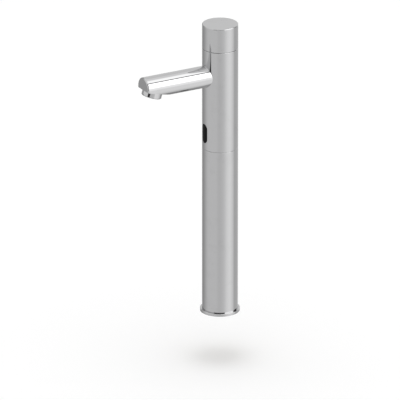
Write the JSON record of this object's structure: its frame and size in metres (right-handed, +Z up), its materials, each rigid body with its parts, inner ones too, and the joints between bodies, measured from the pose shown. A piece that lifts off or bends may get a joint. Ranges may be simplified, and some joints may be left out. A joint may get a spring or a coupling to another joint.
{
  "type": "sensor tap",
  "caption": "Tall round chrome sensor tap with a cut-under spout, an obround infrared window low on the upper body and a mixing knob on top.",
  "frame": {"origin": "column axis at the deck, in the plane of the underside of the base", "axes": "+Z up along the column, -Y along the spout towards the user, -X is the hot side"},
  "size_m": [0.05, 0.134, 0.3828],
  "materials": {
    "chrome": "polished chrome plate",
    "window": "gloss dark infrared window",
    "brass": "machined",
    "steel": "stainless steel",
    "rubber": "matt black",
    "black_plastic": "moulded",
    "grey_plastic": "moulded",
    "white_plastic": "moulded",
    "blue_plastic": "moulded",
    "red_plastic": "moulded",
    "orange_plastic": "moulded",
    "disc": "ground ceramic",
    "diode": "clear resin",
    "board": "lacquered circuit board",
    "copper": "drawn copper",
    "cell": "plain sleeve"
  },
  "bodies": {
    "column": {"base_ring": "chrome", "deck_gasket": "rubber", "mounting_base": "brass", "riser_tube": "chrome", "joining_nipple": "brass", "joint_o_rings": "rubber", "joint_grub_screw": "steel", "upper_body": "chrome", "spout": "chrome", "spout_o_ring": "rubber", "spout_grub_screw": "steel", "aerator_ring": "chrome", "aerator_insert": "white_plastic", "flow_regulator": "orange_plastic", "aerator_washer": "rubber", "sensor_window": "window", "sensor_gasket": "rubber", "sensor_housing": "black_plastic", "ir_emitter": "diode", "ir_receiver": "diode", "sensor_board": "board", "sensor_brace": "grey_plastic", "valve_block": "brass", "cartridge_body": "white_plastic", "cartridge_seal": "rubber", "fixed_disc": "disc", "cartridge_nut": "brass", "stop_ring": "red_plastic", "glide_ring": "black_plastic", "solenoid_bonnet": "grey_plastic", "armature_tube": "steel", "coil_bobbin": "black_plastic", "coil_winding": "copper", "coil_yoke": "steel", "coil_nut": "steel", "supply_pipes": "copper", "pipe_o_rings": "rubber", "check_valve_bodies": "blue_plastic", "inlet_filters": "steel", "carrier_strip": "steel", "carrier_screws": "steel", "battery_holder": "black_plastic", "battery_cells": "cell", "battery_contacts": "steel", "control_case": "black_plastic", "control_board": "board", "battery_lead": "rubber", "wire_leads": "rubber"},
    "knob": {"knob": "chrome", "knob_insert": "grey_plastic", "knob_grub_screw": "steel", "cartridge_stem": "brass", "turning_disc": "disc"},
    "plunger": {"plunger": "steel", "plunger_spring": "steel"},
    "piston": {"valve_piston": "white_plastic"},
    "hot_check": {"hot_poppet": "red_plastic", "hot_poppet_spring": "steel"},
    "cold_check": {"cold_poppet": "blue_plastic", "cold_poppet_spring": "steel"}
  },
  "joints": [
    {"name": "knob_turn", "type": "hinge", "parent": "column", "child": "knob", "pos_m": [0, 0, 0.37], "axis": [0, 0, 1], "range_deg": [-55, 55]},
    {"name": "plunger_pull", "type": "slide", "parent": "column", "child": "plunger", "axis": [0, 0, -1], "range_m": [0, 0.0018], "stiffness_N_per_m": 300, "springref_m": -0.004, "deforming": ["plunger_spring"]},
    {"name": "piston_lift", "type": "slide", "parent": "column", "child": "piston", "axis": [0, 0, -1], "range_m": [0, 0.0016]},
    {"name": "hot_check_lift", "type": "slide", "parent": "column", "child": "hot_check", "axis": [0, 0, 1], "range_m": [0, 0.0025], "stiffness_N_per_m": 150, "springref_m": -0.003, "deforming": ["hot_poppet_spring"]},
    {"name": "cold_check_lift", "type": "slide", "parent": "column", "child": "cold_check", "axis": [0, 0, 1], "range_m": [0, 0.0025], "stiffness_N_per_m": 150, "springref_m": -0.003, "deforming": ["cold_poppet_spring"]}
  ],
  "couplings": [
    {"joint": "piston_lift", "follows": "plunger_pull", "ratio": 0.888}
  ]
}
